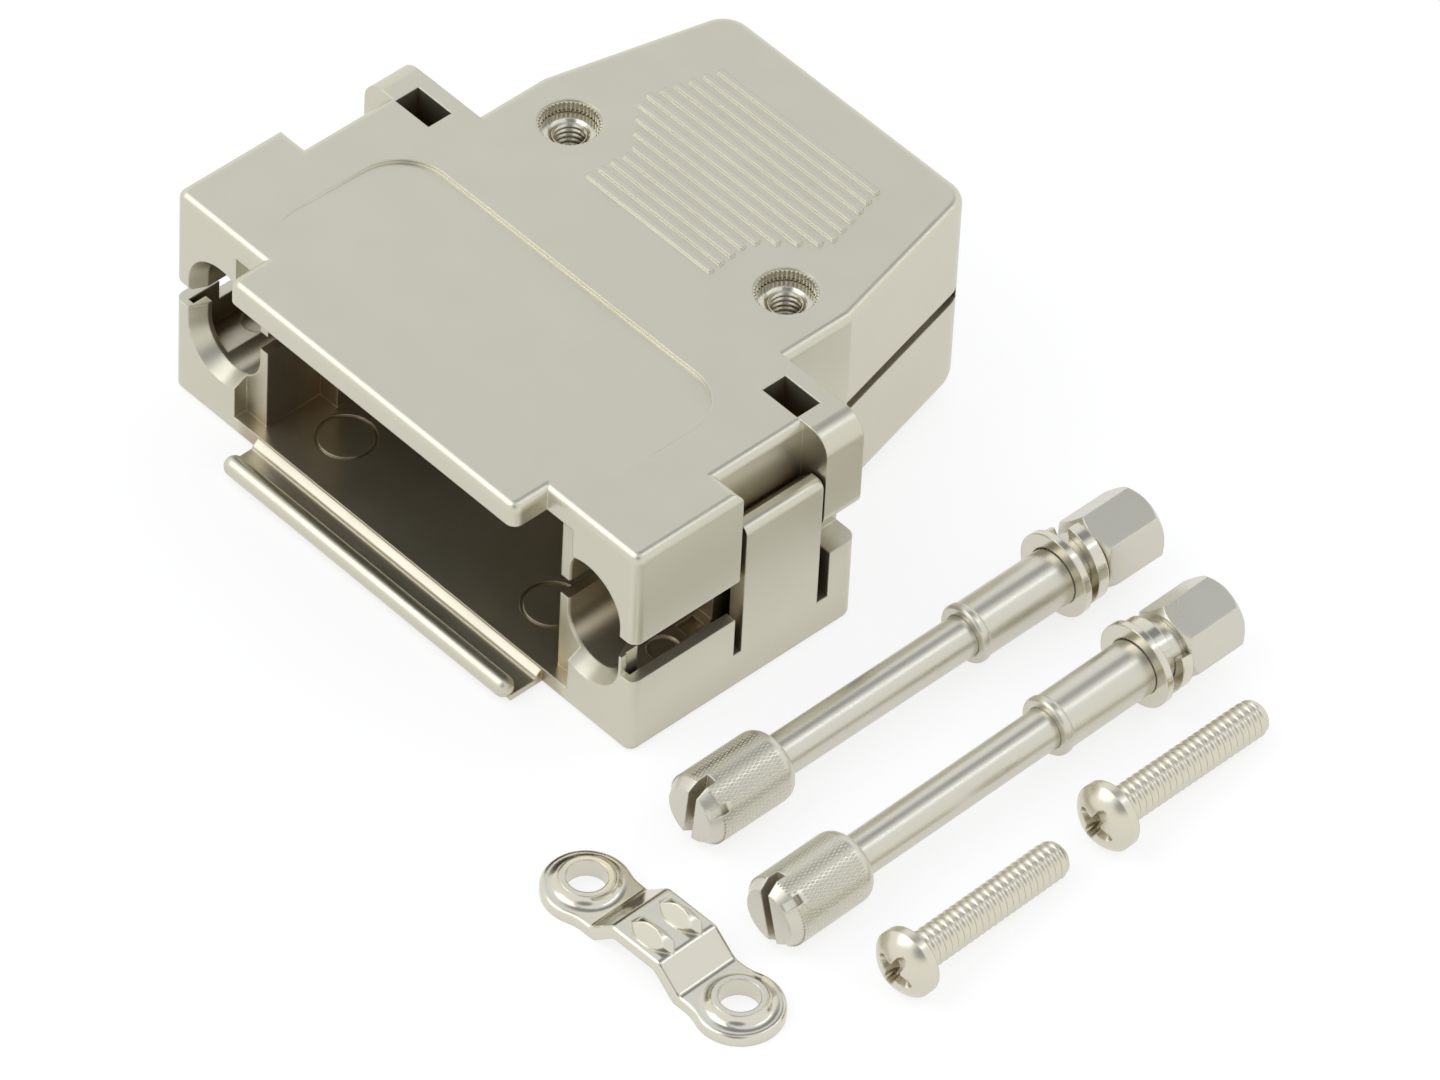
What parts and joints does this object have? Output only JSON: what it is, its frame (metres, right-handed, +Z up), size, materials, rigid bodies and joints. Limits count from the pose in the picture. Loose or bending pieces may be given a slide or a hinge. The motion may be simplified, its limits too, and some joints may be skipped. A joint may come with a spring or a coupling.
{
  "type": "d-sub connector hood",
  "caption": "Snap-together plated hood for a D-sub cable connector, closed, with its jackscrews, washers, clamp screws and cable clamp laid out beside it.",
  "frame": {"origin": "middle of the hood's underside, halfway between the connector face and the cable end", "axes": "+X across the hood towards the loose hardware, +Y from the connector face to the cable end, +Z up from the underside"},
  "size_m": [0.0691, 0.0492, 0.0168],
  "materials": {
    "hood": "satin nickel plating over moulded plastic",
    "insert": "nickel-plated, turned",
    "jackscrew": "nickel-plated, turned",
    "sleeve": "nickel-plated, turned",
    "washer": "nickel-plated",
    "screw": "nickel-plated, rolled thread",
    "clamp": "nickel-plated"
  },
  "bodies": {
    "root": {"upper_shell": "hood", "lower_shell": "hood", "insert_right": "insert", "insert_left": "insert", "thumb_screw_1": "jackscrew", "hex_sleeve_1": "sleeve", "flat_washer_1": "washer", "split_washer_1": "washer", "thumb_screw_2": "jackscrew", "hex_sleeve_2": "sleeve", "flat_washer_2": "washer", "split_washer_2": "washer", "clamp_screw_1": "screw", "clamp_screw_2": "screw", "cable_clamp": "clamp"}
  },
  "joints": []
}
